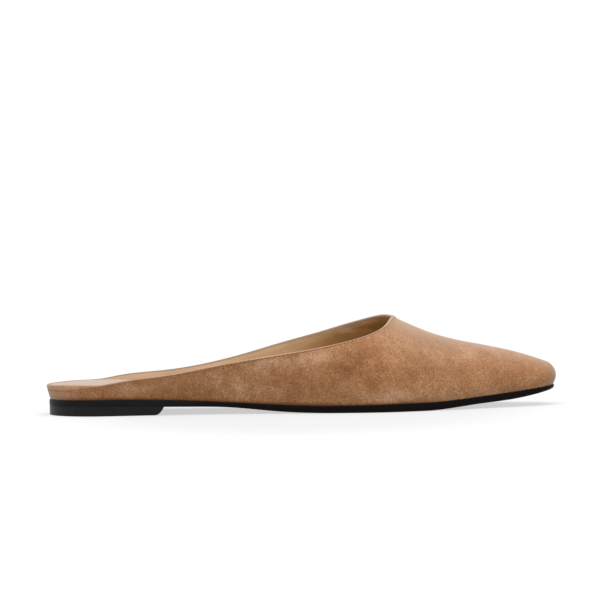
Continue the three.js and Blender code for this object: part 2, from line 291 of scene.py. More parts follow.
def last_face():
    """Rows of the last's own surface, from the outline up to the opening's edge."""
    foot = outline(FEATHER_INSET)[:, :2]
    edge = opening_edge()
    share = ((np.arange(FINE_ROWS + 1) / FINE_ROWS) ** 2)[:, None, None]
    plan = foot + (edge - foot) * share
    level = rise(plan[..., 0], plan[..., 1])
    level[0] = 0
    height = sole_top(plan[..., 0]) + SEAT_GAP * (1 - level) + crest(plan[..., 0]) * level
    rows = np.concatenate((plan, height[..., None]), 2)
    held = np.clip((height - sole_top(plan[..., 0])) / crest(plan[..., 0]), 0, 1)
    halfway = np.clip(LAST["round"](plan[..., 0]), 0, 1)
    lean = (1 - halfway) * 27 / 4 * held * (1 - held) ** 2 + halfway * 4 * held * (1 - held)
    swell = BALL_WIDTH * LAST["swell"](plan[..., 0]) * lean
    out = row_normals(rows)
    rows[..., :2] += out[..., :2] * swell[..., None]
    return rows


def centre_of_frame():
    """Where the last's own zero lies in the frame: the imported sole's corner over the outline's."""
    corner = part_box("outsole")[0]
    flat = outline(0)
    return np.array((corner.x / MM, corner.y / MM - flat[:, 1].min(), 0.0))


ZERO = centre_of_frame()

# Widths of the slow unevenness of the lasted suede
LONG_WAVES = 19
SHORT_WAVES = 8

# How the edge of the opening was worked: its fold is wider at the throat and round the heel, it was
# pulled up on the outer side, let down on the inner side and drawn forward at the throat, and the seam
# has a low ridge on both sides
WIDER_AT_THROAT = 1.0
WIDER_AT_HEEL = 1.7
PULLED_UP = 0.85
PULLED_UP_AT = 93
LET_DOWN = 0.45
LET_DOWN_AT = 140
PULL_REACH = 9.0
DRAWN_FORWARD = 0.8
SEAM_RIDGE = 0.1

# Depths under the upper's outer face, how far the insole is pressed into the lining, and the rows that
# the fold reaches down inside
SUEDE_BACK = 1.25
LINING_BACK = 1.35
LINING_FRONT = WALL + 0.28
PRESSED_IN = 0.08
FOLD_ROWS = 8

# Places off the seam that the foot and the inside are given, where no seam shows
FAR_BELOW_SEAM = 40
FAR_INSIDE = -5

# How the upper's foot turns in, each step an inset and a height over the outsole's top
FOOT_TURN = ((0.22, 0.06), (0.8, -0.12), (1.3, -0.12))

# The outsole's edge, rounded above and bevelled below, and how far its arch is scooped out underneath
EDGE_ROUND = 0.45
EDGE_BEVEL = 0.8
TOE_BEVEL = 1.6
EDGE_BELLY = 0.07
ARCH_SCOOP = 0.55
ARCH_MIDDLE = 92

# The brushed nap and the soft hand relief, placed after the photo on the outer side and made up in its
# manner on the inner side. Each stroke runs through points (x, height over the floor) and has a width,
# a rise and a tone, lighter over 0.
# Each stroke's tone is partly the nap's own and partly painted light and shade on the relief: lighter along
# ridges, darker along troughs
STROKES = (
    (OUTER, ((147, 24), (151, 23), (155, 28.5), (162, 31), (167, 27), (165, 22)), 4.0, -0.16, -0.9),
    (OUTER, ((158, 20), (162, 13)), 3.0, -0.04, -0.9),
    (OUTER, ((147, 33), (151, 27)), 4.0, -0.05, -0.5),
    (OUTER, ((148, 20), (154, 20)), 3.0, -0.04, -0.5),
    (OUTER, ((166, 33.5), (168, 29), (170.5, 25), (171.5, 19)), 3.0, 0.14, 0.5),
    (OUTER, ((188, 35), (200, 30)), 4.0, -0.06, -0.7),
    (OUTER, ((183, 26), (186, 25), (187, 20), (176, 17.5)), 3.4, -0.16, -0.85),
    (OUTER, ((190, 21), (205, 19), (214, 20), (222, 18)), 3.2, -0.12, -0.5),
    (OUTER, ((213, 9), (222, 6)), 3.0, 0.03, 0.6),
    (OUTER, ((190, 7), (204, 6)), 3.0, 0.03, 0.8),
    (OUTER, ((195, 28), (204, 26), (211, 26)), 2.8, 0.08, 0.8),
    (OUTER, ((215, 31), (222, 30.5)), 2.2, 0.05, 0.6),
    (OUTER, ((231, 27), (236, 26)), 2.4, 0.0, 0.6),
    (OUTER, ((224, 26), (227.5, 21)), 2.6, 0.08, 0.6),
    (OUTER, ((233, 25), (238, 22), (246, 20)), 3.8, -0.08, -0.85),
    (OUTER, ((224, 14), (232, 15), (238, 17)), 3.6, -0.05, -0.6),
    (OUTER, ((183, 9), (187, 11), (185, 14)), 2.6, 0.08, 0.6),
    (OUTER, ((176, 9), (184, 8.5)), 2.8, 0.04, 0.6),
    (OUTER, ((163, 6), (173, 6)), 2.6, 0.0, 0.5),
    (OUTER, ((167, 13), (168, 7)), 3.0, 0.0, 0.8),
    (OUTER, ((93, 19), (95, 15)), 2.4, 0.0, 0.9),
    (OUTER, ((103, 23.5), (108, 22)), 2.0, 0.0, 0.7),
    (OUTER, ((139, 26), (147, 23)), 2.6, 0.0, -0.6),
    (OUTER, ((214, 27.5), (220, 27)), 2.0, 0.0, -0.6),
    (OUTER, ((155, 8.5), (167, 8), (176, 8)), 3.0, 0.05, 0.7),
    (OUTER, ((147, 14), (153, 11)), 3.4, 0.04, 0.5),
    (OUTER, ((93, 15), (97, 8)), 3.0, 0.0, 0.6),
    (OUTER, ((78, 13), (83, 16), (87, 9)), 5.0, 0.06, 0.9),
    (OUTER, ((96, 12), (116, 11)), 3.2, 0.05, 0.4),
    (OUTER, ((74, 19.5), (82, 20.5), (92, 21.5)), 3.0, 0.05, 0.4),
    (OUTER, ((104, 26), (113, 27.5), (124, 28.5), (136, 30)), 2.6, 0.05, 1.2),
    (OUTER, ((118, 24), (130, 28), (144, 32)), 3.0, 0.04, 0.5),
    (OUTER, ((94, 18.5), (108, 18.5), (136, 17)), 3.6, -0.06, -0.4),
    (OUTER, ((126, 12), (136, 13), (140, 8)), 4.0, -0.05, -0.6),
    (OUTER, ((54, 11), (65, 10), (80, 12)), 4.4, -0.04, -0.9),
    (OUTER, ((38, 15), (50, 15)), 2.6, 0.03, 0.9),
    (OUTER, ((0, 14), (2, 9)), 3.0, 0.0, 0.8),
    # The dark stroke on the nose's front is painted shade, as that face turns away from the light above
    (OUTER, ((253, 19), (254.5, 13)), 2.4, 0.0, -0.5),
    (INNER, ((150, 24), (160, 30), (170, 28)), 4.5, -0.14, -0.5),
    (INNER, ((182, 30), (188, 20)), 4.5, 0.12, 0.5),
    (INNER, ((196, 22), (210, 22)), 3.5, -0.1, -0.5),
    (INNER, ((222, 26), (232, 20)), 4.0, -0.06, -0.5),
    (INNER, ((96, 12), (116, 12)), 4.0, 0.06, 0.5),
    (INNER, ((52, 13), (62, 11)), 4.5, -0.04, -0.6),
)

# Wrinkles of the lining where it is gathered behind the throat, painted lighter on their ridges and
# darker in their troughs
LINING_STROKES = (
    (INNER, ((140, 37), (146, 38.7), (153.5, 40.4), (160, 41.8), (166, 43)), 0.9, 0.12, 0.36),
    (INNER, ((155, 39.6), (162, 39.8), (166, 38.8)), 1.0, -0.16, -0.3),
    (INNER, ((149, 37.3), (157, 37.8), (164, 38.6)), 1.3, 0.12, 0.36),
    (INNER, ((147, 36), (153, 36.2)), 0.9, -0.1, -0.15),
    (INNER, ((158, 37), (166, 40.5), (170, 42.5)), 1.1, -0.14, -0.22),
    (OUTER, ((152, 38), (160, 38.5), (166, 40)), 1.1, -0.12, -0.2),
    (OUTER, ((148, 34), (158, 35)), 1.3, 0.12, 0.15),
)


def close_to(value, place, reach):
    """1 at a place, fading smoothly to nothing on both sides of it."""
    return np.exp(-(((value - place) / reach) ** 2))


def part_way(value, start, end):
    """0 before the start, 1 past the end and a share of the way between them."""
    return np.clip((value - start) / (end - start), 0, 1)


def from_path(x, z, path):
    """How far points of a side view are from a path of straight lines."""
    nearest = np.full(x.shape, 1e9)
    for (ax, az), (bx, bz) in zip(path, path[1:]):
        length = (bx - ax) ** 2 + (bz - az) ** 2
        share = np.clip(((x - ax) * (bx - ax) + (z - az) * (bz - az)) / length, 0, 1)
        away = np.hypot(x - ax - share * (bx - ax), z - az - share * (bz - az))
        nearest = np.minimum(nearest, away)
    return nearest


def brushed(rows, strokes):
    """The rise and the tone that the strokes give each point."""
    rise_by = np.zeros(rows.shape[:2])
    tone_by = np.zeros(rows.shape[:2])
    beside = rows[..., 1] - ridge(rows[..., 0])
    for side, path, width, lift, tone in strokes:
        near = close_to(from_path(rows[..., 0], rows[..., 2], path), 0, width)
        near = near * np.clip(0.5 + side * beside / 8, 0, 1)
        rise_by += lift * near
        tone_by += tone * near
    return rise_by, tone_by


def hand_waves(rows, size, height):
    """Slow unevenness of leather pulled over a last by hand."""
    points = rows.reshape(-1, 3) / size
    waves = [noise.noise(Vector(point)) for point in points]
    return height * np.array(waves).reshape(rows.shape[:2])


def seam_drop(x, drop):
    """How far below the edge the stitches run. The fold is wider at the throat and round the heel."""
    back = part_way(x, 27, 7)
    return drop + WIDER_AT_THROAT * close_to(x, THROAT, 6) + WIDER_AT_HEEL * back**2 * (3 - 2 * back)


def stretched(x, below):
    """How much the edge stands higher or lower than on the last, after it was pulled on by hand."""
    outer = PULLED_UP * close_to(x, PULLED_UP_AT, 24)
    inner = -LET_DOWN * np.exp(-(((x - LET_DOWN_AT) / 42) ** 4))
    return np.where(LOOP_SIDE == OUTER, outer, inner) * part_way(below, PULL_REACH, 0) ** 2


def set_to_edge(rows, drop):
    """The same surface with its last rows lined up with stitches and edge, and their distances below it."""
    step = np.linalg.norm(np.diff(rows, axis=0), axis=2)
    run = np.concatenate((np.zeros((1, LOOP_COUNT)), np.cumsum(step, 0)))
    rim = unit(np.roll(rows[-1], -1, 0) - np.roll(rows[-1], 1, 0))
    square = np.linalg.norm(np.cross(unit(rows[-1] - rows[-3]), rim), axis=1)
    main = np.arange(WALL_ROWS) / WALL_ROWS * FINE_ROWS
    made = np.empty((WALL_ROWS + len(BELOW_SEAM) + len(ABOVE_SEAM), LOOP_COUNT, 3))
    below = np.empty(made.shape[:2])
    for i in range(LOOP_COUNT):
        whole = run[-1, i]
        lined = np.concatenate((drop[i] + np.array(BELOW_SEAM), drop[i] * np.array(ABOVE_SEAM)))
        edge = whole - lined / max(square[i], 0.5)
        plain = np.interp(main, np.arange(FINE_ROWS + 1), run[:, i]) * edge[0] / whole
        place = np.concatenate((plain, edge))
        below[:, i] = (whole - place) * max(square[i], 0.5)
        for axis in range(3):
            made[:, i, axis] = np.interp(place, run[:, i], rows[:, i, axis])
    return made, below


def stitch_line(ring, pitch):
    """Where each point of a closed ring lies, counted in stitches, and how many stitches fit round it."""
    step = np.linalg.norm(np.roll(ring, -1, 0) - ring, axis=1)
    run = np.concatenate(([0.0], np.cumsum(step)))
    count = max(8, round(run[-1] / pitch))
    return run / run[-1] * count, count


def linear(hexed):
    """An sRGB hex colour as linear red, green and blue."""
    parts = (int(hexed[i : i + 2], 16) / 255 for i in (1, 3, 5))
    return tuple(c / 12.92 if c <= 0.04045 else ((c + 0.055) / 1.055) ** 2.4 for c in parts)


def colour_property(name, description, hexed):
    return FloatVectorProperty(
        name=name, description=description, subtype="COLOR", size=3, min=0, max=1, default=linear(hexed)
    )


def length_property(name, description, millimetres):
    return FloatProperty(
        name=name, description=description, unit="LENGTH", min=0, precision=5, default=millimetres * MM
    )


class MuleSizes(bpy.types.PropertyGroup):
    """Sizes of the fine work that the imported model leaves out."""

    stitch_pitch: length_property("Stitch pitch", "From one needle hole to the next", 2.2)
    stitch_drop: length_property("Stitch drop", "From the folded edge down to the stitches", 0.5)
    thread: length_property("Thread", "Thickness of the sewing thread", 0.34)
    edge_lip: length_property("Edge lip", "How far the stiffened edge stands out at the throat", 0.75)
    seam_depth: length_property("Seam depth", "How far the stitches pull the suede in", 0.18)
    skived: length_property("Skiving", "How much thinner the upper is at its folded edge", 0.35)
    heel_roll: length_property("Heel roll", "How far the edge rolls in beside the heel", 0.8)
    hand_waves: length_property("Hand waves", "Slow unevenness of the lasted suede", 0.1)
    lining_top: length_property("Lining top", "From the folded edge down to the lining's edge", 0.15)
    insole_crown: length_property("Insole crown", "How far the cushion rises to its middle", 0.75)
    insole_round: length_property("Insole rounding", "Rounding along the insole's edge", 1.4)
    heel_round: length_property("Heel rounding", "Rounding of the heel block's edges", 0.45)
    breast_round: length_property("Breast rounding", "Rounding under the heel block's front face", 1.9)


class MuleColours(bpy.types.PropertyGroup):
    """Colours of the leathers, the rubber, the thread and the studio."""

    suede: colour_property("Suede", "Nap lying flat", "#8C6240")
    suede_dark: colour_property("Suede, brushed dark", "Nap brushed against the eye", "#6B4328")
    suede_light: colour_property("Suede, brushed light", "Nap brushed away from the eye", "#AA866A")
    # The paler edge colour is partly wear and partly a painted highlight on the rounded top of the fold
    worn_edge_and_highlight: colour_property("Suede, rubbed", "Nap worn pale along the folded edge", "#B99675")
    # The bloom is a painted sheen, mixed in where the surface turns away from the eye
    bloom: colour_property("Suede, bloom", "Tips of the nap where it turns away", "#8F7A69")
    sheen: colour_property("Suede, sheen", "Gleam on the tips of the nap", "#E8D5C4")
    seam: colour_property("Needle holes", "Shade in the stitched seam", "#3F2716")
    fold: colour_property("Turned edge", "Suede turned over the edge, seen from inside", "#866D58")
    thread: colour_property("Thread", "Sewing thread", "#8C6345")
    # The four lining colours are the stops of a painted shade: the plain colour at the back, lightest in
    # the middle, then half and fully shaded toward the throat
    lining: colour_property("Lining", "Vegetable tanned lining beside the heel", "#B4967A")
    lining_lightest: colour_property("Lining, clean", "Lining where it is touched least", "#D0AC82")
    lining_half_shade: colour_property("Lining, handled", "Lining darkened by handling", "#B98E57")
    lining_full_shade: colour_property("Lining, throat", "Lining darkest behind the throat", "#9C7441")
    insole: colour_property("Insole", "Pale leather sock", "#907868")
    sole: colour_property("Sole edge", "Inked edge and underside", "#0C0606")
    heel: colour_property("Heel", "Moulded heel block", "#151415")
    floor: colour_property("Floor", "Light table", "#6F6F70")


# A range with soft ends
SMOOTH = {"interpolation_type": "SMOOTHSTEP"}


def own_material(name):
    """An empty material of that name, its tree, its surface shader and the object's own coordinates."""
    material = bpy.data.materials.new(name)
    material.use_nodes = True
    tree = material.node_tree
    tree.nodes.clear()
    shader = tree.nodes.new("ShaderNodeBsdfPrincipled")
    end = tree.nodes.new("ShaderNodeOutputMaterial")
    tree.links.new(shader.outputs["BSDF"], end.inputs["Surface"])
    place = tree.nodes.new("ShaderNodeTexCoord")
    return material, tree, shader, (place, "Object")


def add(tree, kind, settings=None, sockets=None):
    """Adds a node with its settings. Each socket gets a value, or a (node, output) pair to link."""
    new = tree.nodes.new(kind)
    for name, value in (settings or {}).items():
        setattr(new, name, value)
    plug_in(tree, new, sockets or {})
    return new


def plug_in(tree, target, sockets):
    """Sets or links a node's inputs by their identifiers."""
    places = {socket.identifier: socket for socket in target.inputs}
    for name, value in sockets.items():
        if isinstance(value, tuple) and isinstance(value[0], bpy.types.Node):
            source, output = value
            start = next(socket for socket in source.outputs if socket.identifier == output)
            tree.links.new(start, places[name])
        else:
            places[name].default_value = value


def blobs(millimetres):
    """The scale of a noise whose blobs are that wide."""
    return 1000 / millimetres


def rgba(colour):
    return (*colour, 1.0)


def set_stops(ramp, stops):
    """Gives a colour ramp its stops, from the one at 0 to the one at 1."""
    elements = ramp.color_ramp.elements
    elements[0].color = rgba(stops[0][1])
    elements[1].color = rgba(stops[-1][1])
    for place, colour in stops[1:-1]:
        elements.new(place).color = rgba(colour)


def suede_material(colours, stitches):
    """Split cow suede, buffed and brushed: no gloss, a fine mottled nap that goes lighter or darker with
    the way it lies, and a painted sheen that turns it greyer where the surface turns away from the eye."""
    material, tree, shader, at = own_material("Tan split suede, buffed")
    # Patches of nap lying one way are 8 to 20 mm wide, and its tufts about 3 mm
    patches = add(tree, "ShaderNodeTexNoise", None, {
        "Vector": at, "Scale": blobs(14), "Detail": 3.0, "Roughness": 0.55, "Distortion": 0.5})
    tufts = add(tree, "ShaderNodeTexNoise", None, {
        "Vector": at, "Scale": blobs(3.4), "Detail": 4.0, "Roughness": 0.62})
    # Real nap is 0.2 mm wide and is drawn four times coarser, so that it shows
    nap = add(tree, "ShaderNodeTexNoise", None, {
        "Vector": at, "Scale": blobs(0.85), "Detail": 2.0, "Roughness": 0.7})
    # The strokes' tones are partly the nap's own and partly painted light and shade on the creases
    strokes = add(tree, "ShaderNodeAttribute", {"attribute_name": "brushed"})
    lightness = -0.75
    for pattern, weight in ((patches, 1.5), (tufts, 1.3), (nap, 2.5), (strokes, 0.45)):
        added = add(tree, "ShaderNodeMath", {"operation": "MULTIPLY_ADD"}, {
            "Value": (pattern, "Fac"), "Value_001": weight, "Value_002": lightness})
        lightness = (added, "Value")
    tone = add(tree, "ShaderNodeMapRange", None, {"Value": lightness, "From Min": 0.87, "From Max": 2.97})
    ramp = add(tree, "ShaderNodeValToRGB", None, {"Fac": (tone, "Result")})
    set_stops(ramp, ((0, colours.suede_dark), (0.5, colours.suede), (1, colours.suede_light)))
    # Painted shade in the needle holes, at whole numbers along the seam, whose second coordinate is
    # millimetres off it
    seam = add(tree, "ShaderNodeUVMap", {"uv_map": "seam"})
    parts = add(tree, "ShaderNodeSeparateXYZ", None, {"Vector": (seam, "UV")})
    off_hole = add(tree, "ShaderNodeMath", {"operation": "PINGPONG"}, {
        "Value": (parts, "X"), "Value_001": 0.5})
    along = add(tree, "ShaderNodeMath", {"operation": "MULTIPLY"}, {
        "Value": (off_hole, "Value"), "Value_001": stitches.pitch})
    flat = add(tree, "ShaderNodeCombineXYZ", None, {"X": (along, "Value"), "Y": (parts, "Y")})
    away = add(tree, "ShaderNodeVectorMath", {"operation": "LENGTH"}, {"Vector": (flat, "Vector")})
    hole = add(tree, "ShaderNodeMapRange", SMOOTH, {
        "Value": (away, "Value"), "From Min": 0.15, "From Max": 0.6, "To Min": 0.75, "To Max": 0.0})
    # Round the heel the painted seam shade and the paler edge fade out
    along_shoe = add(tree, "ShaderNodeSeparateXYZ", None, {"Vector": at})
    fade_at_heel = add(tree, "ShaderNodeMapRange", SMOOTH, {
        "Value": (along_shoe, "X"), "From Min": -0.118, "From Max": 0.02, "To Min": 0.12, "To Max": 1.0})
    beside = add(tree, "ShaderNodeMath", {"operation": "ABSOLUTE"}, {"Value": (parts, "Y")})
    shade = add(tree, "ShaderNodeMapRange", SMOOTH, {
        "Value": (beside, "Value"), "From Min": 0.05, "From Max": 0.4, "To Min": 0.36, "To Max": 0.0})
    painted_seam_shade = add(tree, "ShaderNodeMath", {"operation": "MAXIMUM"}, {
        "Value": (hole, "Result"), "Value_001": (shade, "Result")})
    sunk = add(tree, "ShaderNodeMath", {"operation": "MULTIPLY"}, {
        "Value": (painted_seam_shade, "Value"), "Value_001": (fade_at_heel, "Result")})
    # Paler along the folded edge, partly wear and partly a painted highlight on its rounded top
    worn_edge_and_highlight = add(tree, "ShaderNodeMapRange", SMOOTH, {
        "Value": (parts, "Y"), "From Min": -0.3, "From Max": 0.0, "To Min": 0.5, "To Max": 0.0})
    worn_edge_and_highlight_strength = add(tree, "ShaderNodeMath", {"operation": "MULTIPLY_ADD"}, {
        "Value": (fade_at_heel, "Result"), "Value_001": 0.65, "Value_002": 0.35})
    worn_edge_and_highlight_here = add(tree, "ShaderNodeMath", {"operation": "MULTIPLY"}, {
        "Value": (worn_edge_and_highlight, "Result"), "Value_001": (worn_edge_and_highlight_strength, "Value")})
    turned = add(tree, "ShaderNodeAttribute", {"attribute_name": "turned"})
    # A painted sheen: where the surface turns away from the eye the colour goes toward the greyer bloom
    tips = add(tree, "ShaderNodeLayerWeight", None, {"Blend": 0.5})
    painted_sheen = add(tree, "ShaderNodeMapRange", SMOOTH, {
        "Value": (tips, "Facing"), "From Min": 0.05, "From Max": 1.0, "To Min": 0.0, "To Max": 0.8})
    # Over the nap's own tones lie the paler edge, partly wear and partly painted highlight, the painted
    # shade of the seam and its needle holes, the turned edge and the painted sheen
    colour = (ramp, "Color")
    for share, over in (
        ((worn_edge_and_highlight_here, "Value"), colours.worn_edge_and_highlight),
        ((sunk, "Value"), colours.seam),
        ((turned, "Fac"), colours.fold),
        ((painted_sheen, "Result"), colours.bloom),
    ):
        mixed = add(tree, "ShaderNodeMix", {"data_type": "RGBA"}, {
            "Factor_Float": share, "A_Color": colour, "B_Color": rgba(over)})
        colour = (mixed, "Result_Color")
    relief = add(tree, "ShaderNodeMath", {"operation": "MULTIPLY_ADD"}, {
        "Value": (tufts, "Fac"), "Value_001": 0.5, "Value_002": (nap, "Fac")})
    bump = add(tree, "ShaderNodeBump", None, {
        "Height": (relief, "Value"), "Strength": 0.6, "Distance": 0.22 * MM})
    plug_in(tree, shader, {
        "Base Color": colour,
        "Normal": (bump, "Normal"),
        "Roughness": 0.95,
        "Specular IOR Level": 0.12,
        "Sheen Weight": 0.25,
        "Sheen Roughness": 0.45,
        "Sheen Tint": rgba(colours.sheen),
    })
    return material


def lining_material(colours):
    """Vegetable tanned calf, smooth side out, with fine pores and a faint polish: pale at the back,
    browner and darker toward the throat as a painted shade, with painted light and shade on its gathered
    wrinkles and a painted highlight below the edge."""
    material, tree, shader, at = own_material("Vegetable tanned lining leather")
    stain = add(tree, "ShaderNodeTexNoise", None, {
        "Vector": at, "Scale": blobs(16), "Detail": 3.0, "Roughness": 0.5})
    # Pores of the grain are 0.5 mm apart and are drawn twice as coarse
    pores = add(tree, "ShaderNodeTexVoronoi", {"feature": "F1"}, {"Vector": at, "Scale": blobs(1.0)})
    # This value carries the painted shading: shade deepening toward the throat, light and shade on the
    # wrinkles and a highlight below the edge
    worn = add(tree, "ShaderNodeAttribute", {"attribute_name": "brushed"})
    ramp = add(tree, "ShaderNodeValToRGB", None, {"Fac": (worn, "Fac")})
    set_stops(ramp, (
        (0, colours.lining),
        (0.15, colours.lining_lightest),
        (0.5, colours.lining_half_shade),
        (1, colours.lining_full_shade),
    ))
    tone = add(tree, "ShaderNodeMapRange", None, {
        "Value": (stain, "Fac"), "From Min": 0.3, "From Max": 0.7, "To Min": 0.88, "To Max": 1.1})
    darker = add(tree, "ShaderNodeMapRange", None, {
        "Value": (pores, "Distance"), "From Min": 0.0, "From Max": 0.35, "To Min": 0.93, "To Max": 1.0})
    both = add(tree, "ShaderNodeMath", {"operation": "MULTIPLY"}, {
        "Value": (tone, "Result"), "Value_001": (darker, "Result")})
    # The lining's cut edge takes the darker, greyer colour of the turned suede
    cut = add(tree, "ShaderNodeAttribute", {"attribute_name": "turned"})
    greyer_at_cut_edge = add(tree, "ShaderNodeMix", {"data_type": "RGBA"}, {
        "Factor_Float": (cut, "Fac"),
        "A_Color": (ramp, "Color"),
        "B_Color": rgba(colours.fold)})
    colour = add(tree, "ShaderNodeVectorMath", {"operation": "SCALE"}, {
        "Vector": (greyer_at_cut_edge, "Result_Color"), "Scale": (both, "Value")})
    bump = add(tree, "ShaderNodeBump", None, {
        "Height": (pores, "Distance"), "Strength": 0.25, "Distance": 0.1 * MM})
    plug_in(tree, shader, {
        "Base Color": (colour, "Vector"),
        "Normal": (bump, "Normal"),
        "Roughness": 0.6,
        "Specular IOR Level": 0.3,
    })
    return material


def insole_material(colours):
    """Pale sheepskin sock over foam, pigmented and ironed: nearly even, with a soft satin gloss and
    faint wrinkles of the grain."""
    material, tree, shader, at = own_material("Pale sheepskin sock leather")
    bloom = add(tree, "ShaderNodeTexNoise", None, {
        "Vector": at, "Scale": blobs(20), "Detail": 2.0, "Roughness": 0.5})
    # Sheepskin grain is 0.6 mm across and is drawn twice as coarse
    grain = add(tree, "ShaderNodeTexVoronoi", {"feature": "DISTANCE_TO_EDGE"}, {
        "Vector": at, "Scale": blobs(1.3), "Randomness": 1.0})
    lines = add(tree, "ShaderNodeMapRange", SMOOTH, {
        "Value": (grain, "Distance"), "From Min": 0.0, "From Max": 0.16})
    tone = add(tree, "ShaderNodeMapRange", None, {
        "Value": (bloom, "Fac"), "From Min": 0.3, "From Max": 0.7, "To Min": 0.94, "To Max": 1.04})
    worn = add(tree, "ShaderNodeMapRange", None, {
        "Value": (lines, "Result"), "To Min": 0.95, "To Max": 1.0})
    both = add(tree, "ShaderNodeMath", {"operation": "MULTIPLY"}, {
        "Value": (tone, "Result"), "Value_001": (worn, "Result")})
    colour = add(tree, "ShaderNodeVectorMath", {"operation": "SCALE"}, {
        "Vector": colours.insole, "Scale": (both, "Value")})
    bump = add(tree, "ShaderNodeBump", None, {
        "Height": (lines, "Result"), "Strength": 0.3, "Distance": 0.08 * MM})
    plug_in(tree, shader, {
        "Base Color": (colour, "Vector"),
        "Normal": (bump, "Normal"),
        "Roughness": 0.42,
        "IOR": 1.48,
        "Specular IOR Level": 0.4,
        "Sheen Weight": 0.1,
        "Sheen Roughness": 0.5,
    })
    return material


def sole_material(colours):
    """Leather sole, its edge inked black and burnished with wax: nearly black with a brown cast, a dull
    streaky polish along the edge and a scuffed, duller underside."""
    material, tree, shader, at = own_material("Black inked leather sole")
    # Burnishing leaves streaks 0.6 mm high and about 12 mm long
    stretched = add(tree, "ShaderNodeMapping", None, {
        "Vector": at, "Scale": Vector((0.06, 0.06, 1.0))})
    streaks = add(tree, "ShaderNodeTexNoise", None, {
        "Vector": (stretched, "Vector"), "Scale": blobs(0.8), "Detail": 3.0, "Roughness": 0.6})
    specks = add(tree, "ShaderNodeTexNoise", None, {
        "Vector": at, "Scale": blobs(1.2), "Detail": 4.0, "Roughness": 0.65})
    facing = add(tree, "ShaderNodeNewGeometry")
    down = add(tree, "ShaderNodeSeparateXYZ", None, {"Vector": (facing, "Normal")})
    under = add(tree, "ShaderNodeMapRange", SMOOTH, {
        "Value": (down, "Z"), "From Min": -0.9, "From Max": -0.6, "To Min": 1.0, "To Max": 0.0})
    tone = add(tree, "ShaderNodeMapRange", None, {
        "Value": (streaks, "Fac"), "From Min": 0.3, "From Max": 0.7, "To Min": 0.75, "To Max": 1.35})
    # Over the heel block both are inked alike, so that their joint hardly shows
    along = add(tree, "ShaderNodeSeparateXYZ", None, {"Vector": at})
    over_heel = add(tree, "ShaderNodeMapRange", SMOOTH, {
        "Value": (along, "X"), "From Min": -0.075, "From Max": -0.03, "To Min": 1.0, "To Max": 0.0})
    inked = add(tree, "ShaderNodeMix", {"data_type": "RGBA"}, {
        "Factor_Float": (over_heel, "Result"),
        "A_Color": rgba(colours.sole),
        "B_Color": rgba(colours.heel)})
    colour = add(tree, "ShaderNodeVectorMath", {"operation": "SCALE"}, {
        "Vector": (inked, "Result_Color"), "Scale": (tone, "Result")})
    gloss = add(tree, "ShaderNodeMapRange", None, {
        "Value": (specks, "Fac"), "From Min": 0.3, "From Max": 0.7, "To Min": 0.38, "To Max": 0.52})
    dulled = add(tree, "ShaderNodeMath", {"operation": "MULTIPLY_ADD"}, {
        "Value": (under, "Result"), "Value_001": 0.25, "Value_002": (gloss, "Result")})
    bump = add(tree, "ShaderNodeBump", None, {
        "Height": (streaks, "Fac"), "Strength": 0.25, "Distance": 0.08 * MM})
    plug_in(tree, shader, {
        "Base Color": (colour, "Vector"),
        "Normal": (bump, "Normal"),
        "Roughness": (dulled, "Value"),
        "Specular IOR Level": 0.06,
    })
    return material


def heel_material(colours):
    """Moulded rubber heel block: an even blue-black with a satin skin and faint dimples of its mould."""
    material, tree, shader, at = own_material("Black moulded rubber heel")
    skin = add(tree, "ShaderNodeTexNoise", None, {
        "Vector": at, "Scale": blobs(1.1), "Detail": 3.0, "Roughness": 0.6})
    cloud = add(tree, "ShaderNodeTexNoise", None, {
        "Vector": at, "Scale": blobs(9), "Detail": 2.0, "Roughness": 0.5})
    tone = add(tree, "ShaderNodeMapRange", None, {
        "Value": (cloud, "Fac"), "From Min": 0.3, "From Max": 0.7, "To Min": 0.85, "To Max": 1.2})
    colour = add(tree, "ShaderNodeVectorMath", {"operation": "SCALE"}, {
        "Vector": colours.heel, "Scale": (tone, "Result")})
    gloss = add(tree, "ShaderNodeMapRange", None, {
        "Value": (cloud, "Fac"), "From Min": 0.3, "From Max": 0.7, "To Min": 0.36, "To Max": 0.48})
    bump = add(tree, "ShaderNodeBump", None, {
        "Height": (skin, "Fac"), "Strength": 0.2, "Distance": 0.06 * MM})
    plug_in(tree, shader, {
        "Base Color": (colour, "Vector"),
        "Normal": (bump, "Normal"),
        "Roughness": (gloss, "Result"),
        "IOR": 1.52,
        "Specular IOR Level": 0.12,
    })
    return material


def thread_material(colours):
    """Bonded polyester thread, twisted from three plies: a dull gleam, and diagonal bands of painted light
    and shade for the plies, lighter where a ply faces up.
    """
    material, tree, shader, at = own_material("Tan bonded polyester thread")
    # The plies pass every 0.5 mm
    plies = add(tree, "ShaderNodeTexWave", {"bands_direction": "DIAGONAL"}, {
        "Vector": at, "Scale": blobs(0.5) / 20, "Distortion": 0.6})
    tone = add(tree, "ShaderNodeMapRange", None, {"Value": (plies, "Fac"), "To Min": 0.85, "To Max": 1.1})
    colour = add(tree, "ShaderNodeVectorMath", {"operation": "SCALE"}, {
        "Vector": colours.thread, "Scale": (tone, "Result")})
    bump = add(tree, "ShaderNodeBump", None, {
        "Height": (plies, "Fac"), "Strength": 0.4, "Distance": 0.05 * MM})
    plug_in(tree, shader, {
        "Base Color": (colour, "Vector"),
        "Normal": (bump, "Normal"),
        "Roughness": 0.65,
        "IOR": 1.57,
        "Specular IOR Level": 0.3,
        "Sheen Weight": 0.15,
    })
    return material


